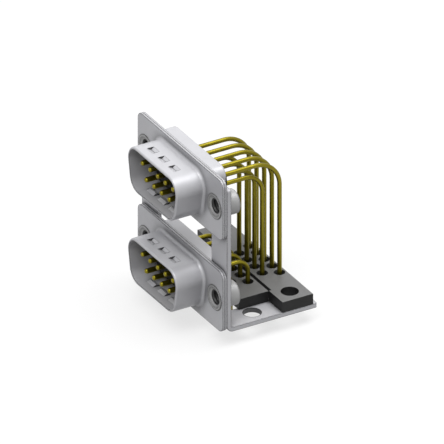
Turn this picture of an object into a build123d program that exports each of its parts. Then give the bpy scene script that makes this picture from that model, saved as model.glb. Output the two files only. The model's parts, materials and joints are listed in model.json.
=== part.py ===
from build123d import *
import math
import os

os.makedirs("parts", exist_ok=True)

# Where the two plugs and the board stand. The board's top is Z = 0, X = 0 is the
# middle of both plugs, and Y = 0 is midway between the front and rear board screws.
# Every depth below is measured back from the front face of the plug flanges.
port_pitch = 19.05
lower_port_height = 6.3
upper_port_height = lower_port_height + port_pitch
front_board_screw_depth = 7.85
board_screw_pitch = 7.88
face_y = -(front_board_screw_depth + board_screw_pitch / 2)

# Plug shells of drawn sheet
shell_sheet = 0.45
sheared_edge_radius = 0.07
flange_beyond_screw = 2.91
flange_height = 12.5
flange_corner = 1.45
plug_width = 16.92
plug_height = 8.36
plug_corner = 2.6
side_lean = 10.0
screw_beside_plug = 4.035
skirt_length = 5.9
skirt_root_radius = 0.6
skirt_mouth_radius = 0.5
rim_outer_radius = 0.36
rim_inner_radius = 0.06
cup_growth = 1.18
cup_corner = 1.85
cup_depth = 4.15
cup_edge_radius = 0.35
cup_mouth_radius = 0.3
shell_hole_radius = 2.0

# Grounding dimples pressed into the skirt, three above and three below. Each is a
# short valley across the plugging direction: a ramp down, then a steeper ramp up.
dimple_pitch = 3.84
dimple_width = 2.0
dimple_front = 4.17
dimple_deepest = 3.37
dimple_back = 2.7
dimple_sink = 0.36
dimple_side_wall = 0.25

# Insulator halves, with the small clearance they have inside the shells
insulator_gap = 0.1
insulator_face_depth = -0.5
insulator_split_depth = 1.75
insulator_tail_depth = 5.0
collar_growth = cup_growth - shell_sheet - insulator_gap
collar_corner = cup_corner - shell_sheet - insulator_gap

# Contacts: turned front pin, retaining collar and bent tail
contact_pitch = 2.77
contact_row_pitch = 2.84
contact_count = 9
top_row_count = 5
pin_radius = 0.5
pin_tip_depth = -5.0
pin_tip_radius = 0.4
pin_bore_radius = 0.54
collar_radius = 0.8
collar_length = 0.5
collar_pocket_radius = 0.86
tail_radius = 0.43
tail_bore_radius = 0.48
tail_below_board = 3.0
tail_tip_chamfer = 0.15
lower_tail_depth = 8.13
gap_between_tail_rows = 3.81
lower_bottom_row_bend = 1.7
lower_top_row_bend = 2.5
upper_bottom_row_bend = 3.7
upper_top_row_bend = 5.3

# Threaded inserts clinched through both flanges and the bracket
insert_rim_radius = 2.5
insert_rim_height = 0.15
insert_rim_edge = 0.06
insert_shank_radius = 1.9
insert_barrel_radius = 2.35
insert_barrel_depth = 4.2
insert_barrel_edge = 0.2
thread_major_radius = 1.42
insert_mouth_radius = 2.0
insert_mouth_depth = 0.38

# Angle brackets, one behind each end of the flanges
bracket_sheet = 0.92
bracket_beside_cup = 0.16
bracket_above_port = 4.3
foot_behind_screw = 4.1
bracket_bend_inside = 0.4
bracket_corner = 0.4
board_screw_radius = 1.68

# Pin spacers lying on the bracket feet
spacer_thickness = 2.17
front_spacer_half = 10.5
front_spacer_ahead = 1.88
spacer_joint_gap = 0.07
rear_spacer_ahead = 2.24
rear_spacer_behind = 1.35
notch_inside_ends = 0.1
notch_depth = 0.51
spacer_edge_radius = 0.1
spacer_funnel_radius = 1.05
spacer_bore_radius = 0.56

# Values that follow from the ones above
half_screws = plug_width / 2 + screw_beside_plug
jack_screw_spacing = 2 * half_screws
half_flange = half_screws + flange_beyond_screw
flange_width = 2 * half_flange
stack_back = 2 * shell_sheet
bracket_back = stack_back + bracket_sheet
bracket_inner_x = plug_width / 2 + cup_growth + bracket_beside_cup
bracket_top = upper_port_height + bracket_above_port
foot_back = front_board_screw_depth + board_screw_pitch + foot_behind_screw
upper_tail_depth = lower_tail_depth + contact_row_pitch + gap_between_tail_rows
spacer_top = bracket_sheet + spacer_thickness
front_spacer_front = lower_tail_depth - front_spacer_ahead
rear_spacer_front = upper_tail_depth - rear_spacer_ahead
rear_spacer_back = upper_tail_depth + contact_row_pitch + rear_spacer_behind
front_spacer_back = rear_spacer_front - spacer_joint_gap
lean = math.radians(side_lean)


def facing_plane(depth, height, x=0):
    """Plane square to the plugging direction: local x is X, local y is Z, facing out."""
    return Plane(origin=(x, face_y + depth, height), x_dir=(1, 0, 0), z_dir=(0, -1, 0))


def draw_d(growth, radius):
    """D outline, wide side up, grown outwards from the inside of the skirt."""
    half_width = plug_width / 2 + growth
    half_height = plug_height / 2 + growth
    top = half_width - radius + radius * (1 + math.sin(lean)) / math.cos(lean)
    bottom = top - 2 * half_height * math.tan(lean)
    corners = [(top, half_height), (-top, half_height), (-bottom, -half_height), (bottom, -half_height)]
    FilletPolyline(*corners, radius=radius, close=True)


def contact_places(tail_depth, bottom_bend, top_bend):
    """Offset in X, offset in Z, tail depth and bend radius of each contact of one plug."""
    places = []
    for row, count in enumerate((top_row_count, contact_count - top_row_count)):
        rise = contact_row_pitch * (0.5 - row)
        depth = tail_depth + contact_row_pitch * (1 - row)
        bend = (top_bend, bottom_bend)[row]
        for index in range(count):
            places.append((contact_pitch * (index - (count - 1) / 2), rise, depth, bend))
    return places


lower_places = contact_places(lower_tail_depth, lower_bottom_row_bend, lower_top_row_bend)
upper_places = contact_places(upper_tail_depth, upper_bottom_row_bend, upper_top_row_bend)
ports = (
    ("lower", lower_port_height, lower_places),
    ("upper", upper_port_height, upper_places),
)


def draw_valley(level, way):
    """Section of a dimple, sunk from the given level upwards or downwards."""
    deepest = (dimple_deepest, level + way * dimple_sink)
    Polyline((dimple_back, level), deepest, (dimple_front, level), close=True)


def make_front_shell(height):
    """Front flange with the D skirt drawn forward, hollow right through."""
    with BuildPart() as shell:
        with BuildSketch(facing_plane(0, height)):
            RectangleRounded(flange_width, flange_height, flange_corner)
        extrude(amount=-shell_sheet)
        fillet(shell.faces().filter_by(Axis.Y).edges(), sheared_edge_radius)
        with BuildSketch(facing_plane(0, height)):
            with BuildLine():
                draw_d(shell_sheet, plug_corner + shell_sheet)
            make_face()
        extrude(amount=skirt_length)
        root_edges = shell.edges().filter_by_position(Axis.Y, face_y - 0.01, face_y + 0.01)
        root_edges = root_edges.filter_by_position(Axis.X, 1 - half_flange, half_flange - 1)
        root_edges = root_edges.filter_by(lambda e: abs(e.center().Z - height) < plug_height / 2 + 1)
        fillet(root_edges, skirt_root_radius)
        with BuildSketch(facing_plane(shell_sheet, height)):
            with BuildLine():
                draw_d(0, plug_corner)
            make_face()
        extrude(amount=shell_sheet + skirt_length, mode=Mode.SUBTRACT)
        back = shell.faces().sort_by(Axis.Y)[-1]
        fillet(back.inner_wires()[0].edges(), skirt_mouth_radius)
        rim = shell.faces().sort_by(Axis.Y)[0]
        fillet(rim.outer_wire().edges(), rim_outer_radius)
        rim = shell.faces().sort_by(Axis.Y)[0]
        fillet(rim.inner_wires()[0].edges(), rim_inner_radius)
        with BuildSketch(facing_plane(0, height)):
            with GridLocations(jack_screw_spacing, 1, 2, 1):
                Circle(shell_hole_radius)
        extrude(amount=-shell_sheet, mode=Mode.SUBTRACT)
        for side in (1, -1):
            outside = height + side * (plug_height / 2 + shell_sheet)
            inside = height + side * plug_height / 2
            for index in (-1, 0, 1):
                middle = Plane(origin=(index * dimple_pitch, face_y, 0), x_dir=(0, -1, 0), z_dir=(-1, 0, 0))
                with BuildSketch(middle):
                    with BuildLine():
                        draw_valley(inside, -side)
                    make_face()
                extrude(amount=dimple_width / 2 + dimple_side_wall, both=True)
                with BuildSketch(middle):
                    with BuildLine():
                        draw_valley(outside, -side)
                    make_face()
                extrude(amount=dimple_width / 2, both=True, mode=Mode.SUBTRACT)
    return shell


def make_rear_shell(height):
    """Rear flange with a shallow cup drawn backwards and a D window in its floor."""
    with BuildPart() as shell:
        with BuildSketch(facing_plane(shell_sheet, height)):
            RectangleRounded(flange_width, flange_height, flange_corner)
        extrude(amount=-shell_sheet)
        fillet(shell.faces().filter_by(Axis.Y).edges(), sheared_edge_radius)
        with BuildSketch(facing_plane(stack_back, height)):
            with BuildLine():
                draw_d(cup_growth, cup_corner)
            make_face()
        extrude(amount=stack_back - cup_depth)
        cup_floor = shell.faces().sort_by(Axis.Y)[-1]
        fillet(cup_floor.edges(), cup_edge_radius)
        with BuildSketch(facing_plane(shell_sheet, height)):
            with BuildLine():
                draw_d(cup_growth - shell_sheet, cup_corner - shell_sheet)
            make_face()
        extrude(amount=2 * shell_sheet - cup_depth, mode=Mode.SUBTRACT)
        front = shell.faces().filter_by(Axis.Y).sort_by(Axis.Y)[0]
        fillet(front.inner_wires()[0].edges(), cup_mouth_radius)
        with BuildSketch(facing_plane(cup_depth, height)):
            with BuildLine():
                draw_d(0, plug_corner)
            make_face()
        extrude(amount=shell_sheet, mode=Mode.SUBTRACT)
        with BuildSketch(facing_plane(shell_sheet, height)):
            with GridLocations(jack_screw_spacing, 1, 2, 1):
                Circle(shell_hole_radius)
        extrude(amount=-shell_sheet, mode=Mode.SUBTRACT)
    return shell


def make_front_insulator(height, places):
    """Plastic block that closes the skirt, its collar caught behind the front flange."""
    with BuildPart() as block:
        with BuildSketch(facing_plane(insulator_split_depth, height)):
            with BuildLine():
                draw_d(collar_growth, collar_corner)
            make_face()
        extrude(amount=insulator_split_depth - shell_sheet)
        with BuildSketch(facing_plane(shell_sheet, height)):
            with BuildLine():
                draw_d(-insulator_gap, plug_corner - insulator_gap)
            make_face()
        extrude(amount=shell_sheet - insulator_face_depth)
        with BuildSketch(facing_plane(insulator_split_depth, height)):
            for x, rise, depth, bend in places:
                with Locations((x, rise)):
                    Circle(pin_bore_radius)
        extrude(amount=insulator_split_depth - insulator_face_depth, mode=Mode.SUBTRACT)
    return block


def make_rear_insulator(height, places):
    """Plastic block in the cup that traps the contact collars and guides the tails out."""
    floor_depth = cup_depth - shell_sheet
    with BuildPart() as block:
        with BuildSketch(facing_plane(insulator_split_depth, height)):
            with BuildLine():
                draw_d(collar_growth, collar_corner)
            make_face()
        extrude(amount=insulator_split_depth - floor_depth)
        with BuildSketch(facing_plane(floor_depth, height)):
            with BuildLine():
                draw_d(-insulator_gap, plug_corner - insulator_gap)
            make_face()
        extrude(amount=floor_depth - insulator_tail_depth)
        with BuildSketch(facing_plane(insulator_split_depth, height)):
            for x, rise, depth, bend in places:
                with Locations((x, rise)):
                    Circle(collar_pocket_radius)
        extrude(amount=-collar_length, mode=Mode.SUBTRACT)
        with BuildSketch(facing_plane(insulator_split_depth, height)):
            for x, rise, depth, bend in places:
                with Locations((x, rise)):
                    Circle(tail_bore_radius)
        extrude(amount=insulator_split_depth - insulator_tail_depth, mode=Mode.SUBTRACT)
    return block


def make_contact(height, place):
    """One contact: rounded front pin, collar, and a round tail bent down into the board."""
    x, rise, tail_depth, bend = place
    collar_back = insulator_split_depth + collar_length
    tail_y = face_y + tail_depth
    with BuildPart() as contact:
        with BuildSketch(facing_plane(insulator_split_depth, height + rise, x)):
            Circle(pin_radius)
        extrude(amount=insulator_split_depth - pin_tip_depth)
        fillet(contact.edges().sort_by(Axis.Y)[0], pin_tip_radius)
        with BuildSketch(facing_plane(insulator_split_depth, height + rise, x)):
            Circle(collar_radius)
        extrude(amount=-collar_length)
        with BuildLine(Plane(origin=(x, 0, 0), x_dir=(0, 1, 0), z_dir=(1, 0, 0))) as route:
            start = (face_y + collar_back, height + rise)
            straight = Line(start, (tail_y - bend, height + rise))
            JernArc(straight @ 1, straight % 1, bend, -90)
            Line((tail_y, height + rise - bend), (tail_y, -tail_below_board))
        with BuildSketch(facing_plane(collar_back, height + rise, x)):
            Circle(tail_radius)
        sweep(path=route.wires()[0])
        chamfer(contact.edges().sort_by(Axis.Z)[0], tail_tip_chamfer)
    return contact


def make_bracket(side):
    """Angle bracket: leg clinched behind the flanges, foot flat on the board."""
    inner_x = min(side * bracket_inner_x, side * half_flange)
    back_y = face_y + bracket_back
    with BuildPart() as bracket:
        with BuildSketch(Plane(origin=(inner_x, 0, 0), x_dir=(0, 1, 0), z_dir=(1, 0, 0))):
            with BuildLine():
                Polyline(
                    (face_y + stack_back, 0),
                    (face_y + foot_back, 0),
                    (face_y + foot_back, bracket_sheet),
                    (back_y, bracket_sheet),
                    (back_y, bracket_top),
                    (face_y + stack_back, bracket_top),
                    close=True,
                )
            make_face()
        extrude(amount=half_flange - bracket_inner_x)
        across = bracket.edges().filter_by(Axis.X)
        inner_bend = across.filter_by_position(Axis.Y, back_y - 0.01, back_y + 0.01)
        fillet(inner_bend.sort_by(Axis.Z)[0], bracket_bend_inside)
        across = bracket.edges().filter_by(Axis.X).filter_by_position(Axis.Z, -0.01, 0.01)
        fillet(across.sort_by(Axis.Y)[0], bracket_bend_inside + bracket_sheet)
        fillet(bracket.edges().filter_by(Axis.Y).group_by(Axis.Z)[-1], bracket_corner)
        fillet(bracket.edges().filter_by(Axis.Z).group_by(Axis.Y)[-1], bracket_corner)
        with BuildSketch(facing_plane(stack_back, lower_port_height, side * half_screws)):
            Circle(shell_hole_radius)
            with Locations((0, port_pitch)):
                Circle(shell_hole_radius)
        extrude(amount=-bracket_sheet, mode=Mode.SUBTRACT)
        fillet(bracket.faces().filter_by(Axis.X).edges(), sheared_edge_radius)
        with BuildSketch(Plane.XY):
            with Locations((side * half_screws, -board_screw_pitch / 2)):
                Circle(board_screw_radius)
            with Locations((side * half_screws, board_screw_pitch / 2)):
                Circle(board_screw_radius)
        extrude(amount=bracket_sheet, mode=Mode.SUBTRACT)
    return bracket


def add_pin_funnels(places):
    """Cut a funnel and a close bore through a spacer for each tail that passes it."""
    for x, rise, depth, bend in places:
        with Locations((x, face_y + depth, spacer_top)):
            CounterSinkHole(
                radius=spacer_bore_radius,
                counter_sink_radius=spacer_funnel_radius,
                counter_sink_angle=60,
                depth=spacer_thickness,
            )


for port, height, places in ports:
    front_shell = make_front_shell(height)
    front_shell.part.label = f"{port}_front_shell"
    export_step(front_shell.part, f"parts/{port}_front_shell.step")
    rear_shell = make_rear_shell(height)
    rear_shell.part.label = f"{port}_rear_shell"
    export_step(rear_shell.part, f"parts/{port}_rear_shell.step")
    front_insulator = make_front_insulator(height, places)
    front_insulator.part.label = f"{port}_front_insulator"
    export_step(front_insulator.part, f"parts/{port}_front_insulator.step")
    rear_insulator = make_rear_insulator(height, places)
    rear_insulator.part.label = f"{port}_rear_insulator"
    export_step(rear_insulator.part, f"parts/{port}_rear_insulator.step")
    for number, place in enumerate(places, start=1):
        contact = make_contact(height, place)
        contact.part.label = f"{port}_contact_{number}"
        export_step(contact.part, f"parts/{port}_contact_{number}.step")

for side, name in ((-1, "left"), (1, "right")):
    bracket = make_bracket(side)
    bracket.part.label = f"{name}_bracket"
    export_step(bracket.part, f"parts/{name}_bracket.step")

with BuildPart() as inserts:
    for port, height, places in ports:
        for side in (-1, 1):
            axis_x = side * half_screws
            with BuildSketch(Plane(origin=(axis_x, face_y, height), x_dir=(1, 0, 0), z_dir=(0, 0, 1))):
                with BuildLine():
                    Polyline(
                        (insert_mouth_radius, -insert_rim_height),
                        (insert_rim_radius - insert_rim_edge, -insert_rim_height),
                        (insert_rim_radius, insert_rim_edge - insert_rim_height),
                        (insert_rim_radius, 0),
                        (insert_shank_radius, 0),
                        (insert_shank_radius, bracket_back),
                        (insert_barrel_radius, bracket_back),
                        (insert_barrel_radius, insert_barrel_depth - insert_barrel_edge),
                        (insert_barrel_radius - insert_barrel_edge, insert_barrel_depth),
                        (thread_major_radius, insert_barrel_depth),
                        (thread_major_radius, insert_mouth_depth - insert_rim_height),
                        close=True,
                    )
                make_face()
            revolve(axis=Axis((axis_x, face_y, height), (0, 1, 0)))
inserts.part.label = "threaded_inserts"
export_step(inserts.part, "parts/threaded_inserts.step")

with BuildPart() as front_spacer:
    with BuildSketch(Plane.XY.offset(bracket_sheet)):
        with Locations((0, face_y + (front_spacer_front + front_spacer_back) / 2)):
            Rectangle(2 * front_spacer_half, front_spacer_back - front_spacer_front)
    extrude(amount=spacer_thickness)
    fillet(front_spacer.faces().sort_by(Axis.Z)[-1].edges(), spacer_edge_radius)
    add_pin_funnels(lower_places)
front_spacer.part.label = "front_spacer"
export_step(front_spacer.part, "parts/front_spacer.step")

with BuildPart() as rear_spacer:
    with BuildSketch(Plane.XY.offset(bracket_sheet)):
        with Locations((0, face_y + (rear_spacer_front + rear_spacer_back) / 2)):
            Rectangle(flange_width, rear_spacer_back - rear_spacer_front)
        with Locations((0, face_y + rear_spacer_front)):
            Rectangle(2 * (front_spacer_half - notch_inside_ends), 2 * notch_depth, mode=Mode.SUBTRACT)
    extrude(amount=spacer_thickness)
    fillet(rear_spacer.faces().sort_by(Axis.Z)[-1].edges(), spacer_edge_radius)
    with BuildSketch(Plane.XY.offset(bracket_sheet)):
        for side in (-1, 1):
            with Locations((side * half_screws, board_screw_pitch / 2)):
                Circle(board_screw_radius)
    extrude(amount=spacer_thickness, mode=Mode.SUBTRACT)
    add_pin_funnels(upper_places)
rear_spacer.part.label = "rear_spacer"
export_step(rear_spacer.part, "parts/rear_spacer.step")
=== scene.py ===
import json
import math

import bmesh
import bpy
from mathutils import Matrix, Vector


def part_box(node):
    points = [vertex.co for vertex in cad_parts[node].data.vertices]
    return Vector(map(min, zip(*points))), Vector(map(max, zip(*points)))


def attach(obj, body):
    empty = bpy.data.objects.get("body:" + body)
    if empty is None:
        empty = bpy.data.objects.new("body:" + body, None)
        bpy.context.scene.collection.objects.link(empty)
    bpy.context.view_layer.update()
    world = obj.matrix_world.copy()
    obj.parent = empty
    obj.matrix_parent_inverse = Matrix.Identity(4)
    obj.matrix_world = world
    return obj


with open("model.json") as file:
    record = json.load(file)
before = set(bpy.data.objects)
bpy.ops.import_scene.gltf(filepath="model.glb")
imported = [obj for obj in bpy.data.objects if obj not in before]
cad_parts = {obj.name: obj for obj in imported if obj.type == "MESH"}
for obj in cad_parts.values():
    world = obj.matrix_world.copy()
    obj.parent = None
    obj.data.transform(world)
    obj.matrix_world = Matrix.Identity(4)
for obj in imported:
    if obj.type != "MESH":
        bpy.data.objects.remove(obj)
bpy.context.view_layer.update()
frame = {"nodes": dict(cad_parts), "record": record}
nodes = frame["nodes"]
mounts = {mount["name"]: mount for mount in frame["record"]["mounts"]}

MM = 0.001


def grey(value, tint=(1, 1, 1)):
    return tuple(value * part for part in tint)


# Camera, found from the photograph: parallel projection, seen from the front right
CAMERA_BACK = Vector((0.7514, -0.4353, 0.4959))
CAMERA_UP = Vector((-0.4291, 0.2486, 0.8684))
CAMERA_TARGET = Vector((0.238, -3.153, 13.521)) * MM
CAMERA_WIDTH = 80.54 * MM
CAMERA_DISTANCE = 0.6

# Threads inside the inserts: 4-40 UNC. The ridge's half widths are at its foot and its crest.
THREAD_PITCH = 0.635 * MM
THREAD_MINOR_RADIUS = 1.15 * MM
THREAD_MAJOR_RADIUS = 1.41 * MM
THREAD_FOOT = 0.42 * THREAD_PITCH
THREAD_CREST = 0.06 * THREAD_PITCH
THREAD_STEPS = 48
THREAD_START = 0.38 * MM

# Noise: how rough its detail is, and the part of its range that most of it keeps to
NOISE_ROUGHNESS = 0.55
NOISE_LOW = 0.3
NOISE_HIGH = 0.7

# Edges, with painted shade along them and in sharp corners: how wide it is, and how alike the true
# and the rounded normal are where a face counts fully as an edge and where it counts as flat
EDGE_WIDTH = 0.3 * MM
# Painted shade colour along edges and in sharp corners
EDGE_SHADE_COLOUR = grey(0.008)
EDGE_LIKENESS = 0.93
FLAT_LIKENESS = 0.999

# Painted shade in hollows: how far they are looked for, how open a fully shaded and an unshaded spot
# are. Corners are narrow ones on any face, roots are wider ones on faces that look to the front.
CORNERS = (1.0 * MM, 0.35, 0.85)
ROOTS = (3.0 * MM, 0.5, 0.9)

# Bores: the margin outside a bore's wall
WALL_MARGIN = 0.02 * MM

# Faces that look one way: how alike their normal and that way are, from not at all to fully
TURNED_AWAY = 0.6
FACING = 0.95
FRONT = (0, -1, 0)
TOP = (0, 0, 1)

# Metals
BLUISH = (0.985, 0.985, 1.03)
SHEET_COLOUR = grey(0.465, BLUISH)
# Painted shade colour for the sheet's hollows, skirt roots and screw holes
SHEET_SHADE_COLOUR = grey(0.09, BLUISH)
INSERT_COLOUR = grey(0.335)
# Painted shade colour for the inserts' threaded bores
INSERT_SHADE_COLOUR = grey(0.03)
OLIVE_GOLD = (0.185, 0.155, 0.013)
BRIGHT_GOLD = (0.225, 0.19, 0.018)
CLOUD_SPREAD = 0.03
ROUGHNESS_SPREAD = 0.05
METAL_GRAIN = 0.004 * MM

# Plastic: lower and upper ends of its cloudy greys on sides and on top faces, whose lighter greys are
# painted light
PLASTIC_SIDES = (grey(0.012), grey(0.016))
PLASTIC_LIT_TOPS = (grey(0.13), grey(0.142))
PLASTIC_SHINE = 0.25
PLASTIC_GRAIN = 0.01 * MM

# Stage: floor, room and lamps
FLOOR_HALF = 3.0
FLOOR_CLEARANCE = 0.05 * MM
FLOOR_COLOUR = grey(0.22)
FLOOR_LIFT = 0.72
ROOM_LIGHT = 0.32
LAMP_TARGET = Vector((0.0, 0.0, 0.013))

# Where the bores, the screw holes and the ends of the contacts are, read from the frame
thread_places = {
    name.replace("jack_", ""): Vector(mount["pos_m"])
    for name, mount in mounts.items()
    if mount["kind"] == "threaded_hole"
}
threads_middle = sum(thread_places.values(), Vector()) / len(thread_places)
threads_reach = thread_places["upper_right_thread"] - threads_middle
thread_radius = mounts["upper_right_jack_thread"]["dims"]["r_mm"] * MM
board_screws = mounts["board_screws"]["dims"]
screws_reach = Vector((board_screws["spacing_x_mm"], board_screws["spacing_y_mm"], 0)) * MM / 2
screw_hole_radius = board_screws["hole_r_mm"] * MM
insert_low, insert_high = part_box("threaded_inserts")
tail_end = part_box("upper_contact_1")[0].z


# Materials


class Graph:
    """A short way to write the nodes of one material."""

    def __init__(self, name):
        self.material = bpy.data.materials.new(name)
        self.material.use_nodes = True
        self.tree = self.material.node_tree
        self.shader = self.tree.nodes["Principled BSDF"]
        coordinates = self.add("ShaderNodeTexCoord")
        self.place = coordinates.outputs["Object"]
        self.normal = coordinates.outputs["Normal"]

    def add(self, kind, **settings):
        node = self.tree.nodes.new(kind)
        for key, value in settings.items():
            setattr(node, key, value)
        return node

    def join(self, output, target):
        self.tree.links.new(output, target)

    def noise(self, per_metre, detail, stretch=(1, 1, 1)):
        """Noise between 0 and 1, with about the given number of blobs in a metre."""
        mapping = self.add("ShaderNodeMapping")
        mapping.inputs["Scale"].default_value = stretch
        self.join(self.place, mapping.inputs["Vector"])
        node = self.add("ShaderNodeTexNoise")
        node.inputs["Scale"].default_value = per_metre
        node.inputs["Detail"].default_value = detail
        node.inputs["Roughness"].default_value = NOISE_ROUGHNESS
        self.join(mapping.outputs["Vector"], node.inputs["Vector"])
        return node.outputs["Fac"]

    def clouds(self, noise, low, high):
        """Colour that follows a noise from low to high."""
        node = self.add("ShaderNodeValToRGB")
        stops = ((NOISE_LOW, low), (NOISE_HIGH, high))
        for element, (position, colour) in zip(node.color_ramp.elements, stops):
            element.position = position
            element.color = (*colour, 1)
        self.join(noise, node.inputs["Fac"])
        return node.outputs["Color"]

    def span(self, value, low, high, floor=NOISE_LOW, ceiling=NOISE_HIGH):
        """Value turned into low at the floor and high at the ceiling, and even between them."""
        node = self.add("ShaderNodeMapRange")
        ends = (("From Min", floor), ("From Max", ceiling), ("To Min", low), ("To Max", high))
        for key, number in ends:
            node.inputs[key].default_value = number
        self.join(value, node.inputs["Value"])
        return node.outputs["Result"]

    def vector(self, operation, first, second=None):
        """Vector arithmetic on a socket and, where the operation needs one, a fixed vector."""
        node = self.add("ShaderNodeVectorMath", operation=operation)
        self.join(first, node.inputs[0])
        if second is not None:
            node.inputs[1].default_value = second
        return node.outputs["Value" if operation in ("LENGTH", "DOT_PRODUCT") else "Vector"]

    def edges(self):
        """1 on sharp edges and in sharp corners, 0 further than the edge width from them."""
        rounded = self.add("ShaderNodeBevel", samples=8)
        rounded.inputs["Radius"].default_value = EDGE_WIDTH
        true = self.add("ShaderNodeNewGeometry")
        likeness = self.add("ShaderNodeVectorMath", operation="DOT_PRODUCT")
        self.join(rounded.outputs["Normal"], likeness.inputs[0])
        self.join(true.outputs["Normal"], likeness.inputs[1])
        return self.span(likeness.outputs["Value"], 1.0, 0.0, EDGE_LIKENESS, FLAT_LIKENESS)

    def in_bores(self, middle, reach, across, radius):
        """1 inside four like bores set evenly about their middle, 0 from just outside them."""
        offset = self.vector("ABSOLUTE", self.vector("SUBTRACT", self.place, middle))
        offset = self.vector("MULTIPLY", self.vector("SUBTRACT", offset, reach), across)
        distance = self.vector("LENGTH", offset)
        return self.span(distance, 1.0, 0.0, radius + WALL_MARGIN, radius + 3 * WALL_MARGIN)

    def facing(self, way):
        """1 on faces that look the given way, 0 on those turned well away from it."""
        likeness = self.vector("DOT_PRODUCT", self.normal, way)
        return self.span(likeness, 0.0, 1.0, TURNED_AWAY, FACING)

    def hollows(self, reach, closed, clear):
        """1 deep in hollows, 0 on clear faces."""
        node = self.add("ShaderNodeAmbientOcclusion", samples=8)
        node.inputs["Distance"].default_value = reach
        return self.span(node.outputs["AO"], 1.0, 0.0, closed, clear)

    def shares(self, operation, first, second):
        """Two shares as one: MAXIMUM for either, MULTIPLY for both."""
        node = self.add("ShaderNodeMath", operation=operation)
        self.join(first, node.inputs[0])
        self.join(second, node.inputs[1])
        return node.outputs["Value"]

    def mix(self, share, first, second):
        """First colour where share is 0, second where it is 1."""
        node = self.add("ShaderNodeMix", data_type="RGBA")
        self.join(share, node.inputs["Factor"])
        for socket, colour in (("A", first), ("B", second)):
            target = next(i for i in node.inputs if i.name == socket and i.type == "RGBA")
            if isinstance(colour, tuple):
                target.default_value = (*colour, 1)
            else:
                self.join(colour, target)
        return next(o for o in node.outputs if o.type == "RGBA")

    def bump(self, height, distance, strength):
        node = self.add("ShaderNodeBump")
        node.inputs["Strength"].default_value = strength
        node.inputs["Distance"].default_value = distance
        self.join(height, node.inputs["Height"])
        return node.outputs["Normal"]


def plated_metal(name, colour, metallic, roughness, shade_colour, shade_share):
    """Plated metal: cloudy plating, fine rolled grain, painted shade on edges and on the given shaded
    share.
    """
    g = Graph(name)
    noise = g.noise(per_metre=260, detail=4)
    grain = g.noise(per_metre=2600, detail=2, stretch=(1, 1, 0.25))
    low = tuple(part * (1 - CLOUD_SPREAD) for part in colour)
    high = tuple(part * (1 + CLOUD_SPREAD) for part in colour)
    # Painted shade: the dark colour mixed over the plating where the shaded share is 1
    plating = g.mix(shade_share(g), g.clouds(noise, low, high), shade_colour)
    # Painted shade: the near-black colour mixed in along edges and in sharp corners
    g.join(g.mix(g.edges(), plating, EDGE_SHADE_COLOUR), g.shader.inputs["Base Color"])
    g.shader.inputs["Metallic"].default_value = metallic
    rough = g.span(grain, roughness - ROUGHNESS_SPREAD, roughness + ROUGHNESS_SPREAD)
    g.join(rough, g.shader.inputs["Roughness"])
    g.join(g.bump(grain, METAL_GRAIN, strength=0.35), g.shader.inputs["Normal"])
    return g.material


def sheet_shade(g):
    """Painted shade on sheet: in narrow corners, on front faces near a skirt, and in its screw holes.
    """
    roots = g.shares("MULTIPLY", g.hollows(*ROOTS), g.facing(FRONT))
    holes = g.in_bores((0, 0, 0), screws_reach, (1, 1, 0), screw_hole_radius)
    return g.shares("MAXIMUM", g.shares("MAXIMUM", g.hollows(*CORNERS), roots), holes)


def insert_shade(g):
    """Painted shade on the inserts, in their threaded bores."""
    return g.in_bores(threads_middle, threads_reach, (1, 0, 1), thread_radius)


def gold_plating(name):
    """Gold flash over nickel, a little olive, with fine drawn streaks."""
    g = Graph(name)
    noise = g.noise(per_metre=420, detail=3)
    streaks = g.noise(per_metre=3000, detail=2, stretch=(1, 0.2, 0.2))
    g.join(g.clouds(noise, OLIVE_GOLD, BRIGHT_GOLD), g.shader.inputs["Base Color"])
    g.shader.inputs["Metallic"].default_value = 1.0
    g.join(g.span(streaks, 0.30, 0.42), g.shader.inputs["Roughness"])
    g.join(g.bump(streaks, METAL_GRAIN, strength=0.3), g.shader.inputs["Normal"])
    return g.material


def moulded_plastic(name):
    """Black glass-filled plastic: smooth dark sides and holes, matt top faces greyer with painted
    light.
    """
    g = Graph(name)
    noise = g.noise(per_metre=500, detail=5)
    grain = g.noise(per_metre=6000, detail=3)
    sides = g.clouds(noise, *PLASTIC_SIDES)
    lit_tops = g.clouds(noise, *PLASTIC_LIT_TOPS)
    # Painted light: top faces take the lighter greys, as if lit from above
    g.join(g.mix(g.facing(TOP), sides, lit_tops), g.shader.inputs["Base Color"])
    g.shader.inputs["Specular IOR Level"].default_value = PLASTIC_SHINE
    g.join(g.span(grain, 0.42, 0.55), g.shader.inputs["Roughness"])
    g.join(g.bump(grain, PLASTIC_GRAIN, strength=0.3), g.shader.inputs["Normal"])
    return g.material


steel = plated_metal(
    "plated_steel_sheet",
    SHEET_COLOUR,
    metallic=0.25,
    roughness=0.45,
    shade_colour=SHEET_SHADE_COLOUR,
    shade_share=sheet_shade,
)
insert_metal = plated_metal(
    "plated_insert_metal",
    INSERT_COLOUR,
    metallic=0.3,
    roughness=0.5,
    shade_colour=INSERT_SHADE_COLOUR,
    shade_share=insert_shade,
)
gold = gold_plating("gold_plated_contact")
plastic = moulded_plastic("black_moulded_plastic")

FINISHES = (("shell", steel), ("bracket", steel), ("contact", gold), ("inserts", insert_metal))
for node_name, node in nodes.items():
    material = next((finish for kind, finish in FINISHES if kind in node_name), plastic)
    node.data.materials.clear()
    node.data.materials.append(material)


# Threads


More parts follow.
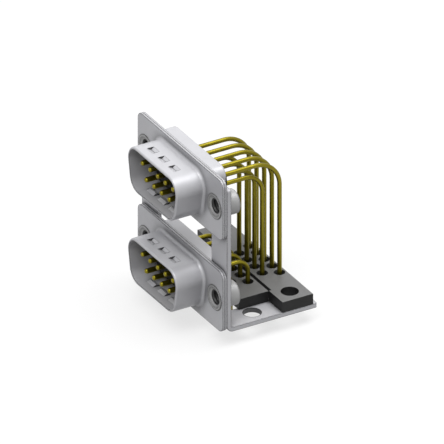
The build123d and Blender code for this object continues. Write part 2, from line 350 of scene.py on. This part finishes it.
def thread_mesh(axis_x, axis_z, front, back):
    """One helical ridge along a bored hole, from front to back, with a triangular section."""
    section = (
        (THREAD_MAJOR_RADIUS, -THREAD_FOOT),
        (THREAD_MINOR_RADIUS, -THREAD_CREST),
        (THREAD_MINOR_RADIUS, THREAD_CREST),
        (THREAD_MAJOR_RADIUS, THREAD_FOOT),
    )
    mesh = bmesh.new()
    turns = (back - front) / THREAD_PITCH
    rows = []
    for step in range(int(turns * THREAD_STEPS) + 1):
        angle = 2 * math.pi * step / THREAD_STEPS
        middle = front + THREAD_PITCH * step / THREAD_STEPS
        row = []
        for radius, shift in section:
            y = min(max(middle + shift, front), back)
            spot = (axis_x + radius * math.cos(angle), y, axis_z + radius * math.sin(angle))
            row.append(mesh.verts.new(spot))
        rows.append(row)
    for before, after in zip(rows, rows[1:]):
        for corner in range(len(section) - 1):
            mesh.faces.new((before[corner], before[corner + 1], after[corner + 1], after[corner]))
    for end in (rows[0], rows[-1]):
        mesh.faces.new(end)
    bmesh.ops.recalc_face_normals(mesh, faces=mesh.faces)
    data = bpy.data.meshes.new("thread")
    mesh.to_mesh(data)
    mesh.free()
    for polygon in data.polygons:
        polygon.use_smooth = True
    return data


for name, place in thread_places.items():
    data = thread_mesh(place.x, place.z, insert_low.y + THREAD_START, insert_high.y)
    thread = bpy.data.objects.new(name, data)
    bpy.context.scene.collection.objects.link(thread)
    data.materials.append(insert_metal)
    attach(thread, "root")


# Stage

scene = bpy.context.scene
scene.view_settings.view_transform = "Standard"


def seen_directly(tree):
    """1 for rays from the camera, and for those that gloss or glass sends on, else 0."""
    path = tree.nodes.new("ShaderNodeLightPath")
    seen = path.outputs["Is Camera Ray"]
    for name in ("Is Glossy Ray", "Is Transmission Ray"):
        either = tree.nodes.new("ShaderNodeMath")
        either.operation = "MAXIMUM"
        tree.links.new(seen, either.inputs[0])
        tree.links.new(path.outputs[name], either.inputs[1])
        seen = either.outputs["Value"]
    return seen


# Floor just under the tails: it keeps a shadow, and is lifted to white where it is seen
floor_z = tail_end - FLOOR_CLEARANCE
corners = [(x * FLOOR_HALF, y * FLOOR_HALF, floor_z) for x, y in ((-1, -1), (1, -1), (1, 1), (-1, 1))]
floor_mesh = bpy.data.meshes.new("floor")
floor_mesh.from_pydata(corners, [], [(0, 1, 2, 3)])
floor = bpy.data.objects.new("floor", floor_mesh)
scene.collection.objects.link(floor)

floor_material = bpy.data.materials.new("pale_floor")
floor_material.use_nodes = True
floor_tree = floor_material.node_tree
floor_shader = floor_tree.nodes["Principled BSDF"]
floor_shader.inputs["Base Color"].default_value = (*FLOOR_COLOUR, 1)
floor_shader.inputs["Roughness"].default_value = 1.0
floor_shader.inputs["Specular IOR Level"].default_value = 0.0
floor_shader.inputs["Emission Color"].default_value = (1, 1, 1, 1)
lift = floor_tree.nodes.new("ShaderNodeMath")
lift.operation = "MULTIPLY"
lift.inputs[1].default_value = FLOOR_LIFT
floor_tree.links.new(seen_directly(floor_tree), lift.inputs[0])
floor_tree.links.new(lift.outputs["Value"], floor_shader.inputs["Emission Strength"])
floor_mesh.materials.append(floor_material)

# Room: white where it is seen, dim where it only lights
world = bpy.data.worlds.new("soft_white_room")
scene.world = world
world.use_nodes = True
background = world.node_tree.nodes["Background"]
background.inputs["Color"].default_value = (1, 1, 1, 1)
strength = world.node_tree.nodes.new("ShaderNodeMapRange")
strength.inputs["To Min"].default_value = ROOM_LIGHT
strength.inputs["To Max"].default_value = 1.0
world.node_tree.links.new(seen_directly(world.node_tree), strength.inputs["Value"])
world.node_tree.links.new(strength.outputs["Result"], background.inputs["Strength"])


def area_lamp(name, place, size, watts):
    """Round soft lamp that looks at the middle of the connector."""
    light = bpy.data.lights.new(name, "AREA")
    light.shape = "DISK"
    light.size = size
    light.energy = watts
    lamp = bpy.data.objects.new(name, light)
    toward = (LAMP_TARGET - Vector(place)).normalized()
    turn = toward.to_track_quat("-Z", "Y").to_matrix().to_4x4()
    lamp.matrix_world = Matrix.Translation(place) @ turn
    scene.collection.objects.link(lamp)


area_lamp("key_lamp", (0.24, -0.45, 0.8), size=0.6, watts=5.2)
area_lamp("overhead_lamp", (0.11, 0.16, 0.8), size=0.7, watts=5.6)
area_lamp("left_softbox", (-0.64, 0.37, 0.43), size=0.7, watts=0.9)

camera_data = bpy.data.cameras.new("camera")
camera_data.type = "ORTHO"
camera_data.ortho_scale = CAMERA_WIDTH
camera = bpy.data.objects.new("camera", camera_data)
scene.collection.objects.link(camera)
back = CAMERA_BACK.normalized()
right = CAMERA_UP.cross(back).normalized()
up = back.cross(right)
turn = Matrix((right, up, back)).transposed().to_4x4()
camera.matrix_world = Matrix.Translation(CAMERA_TARGET + back * CAMERA_DISTANCE) @ turn
scene.camera = camera
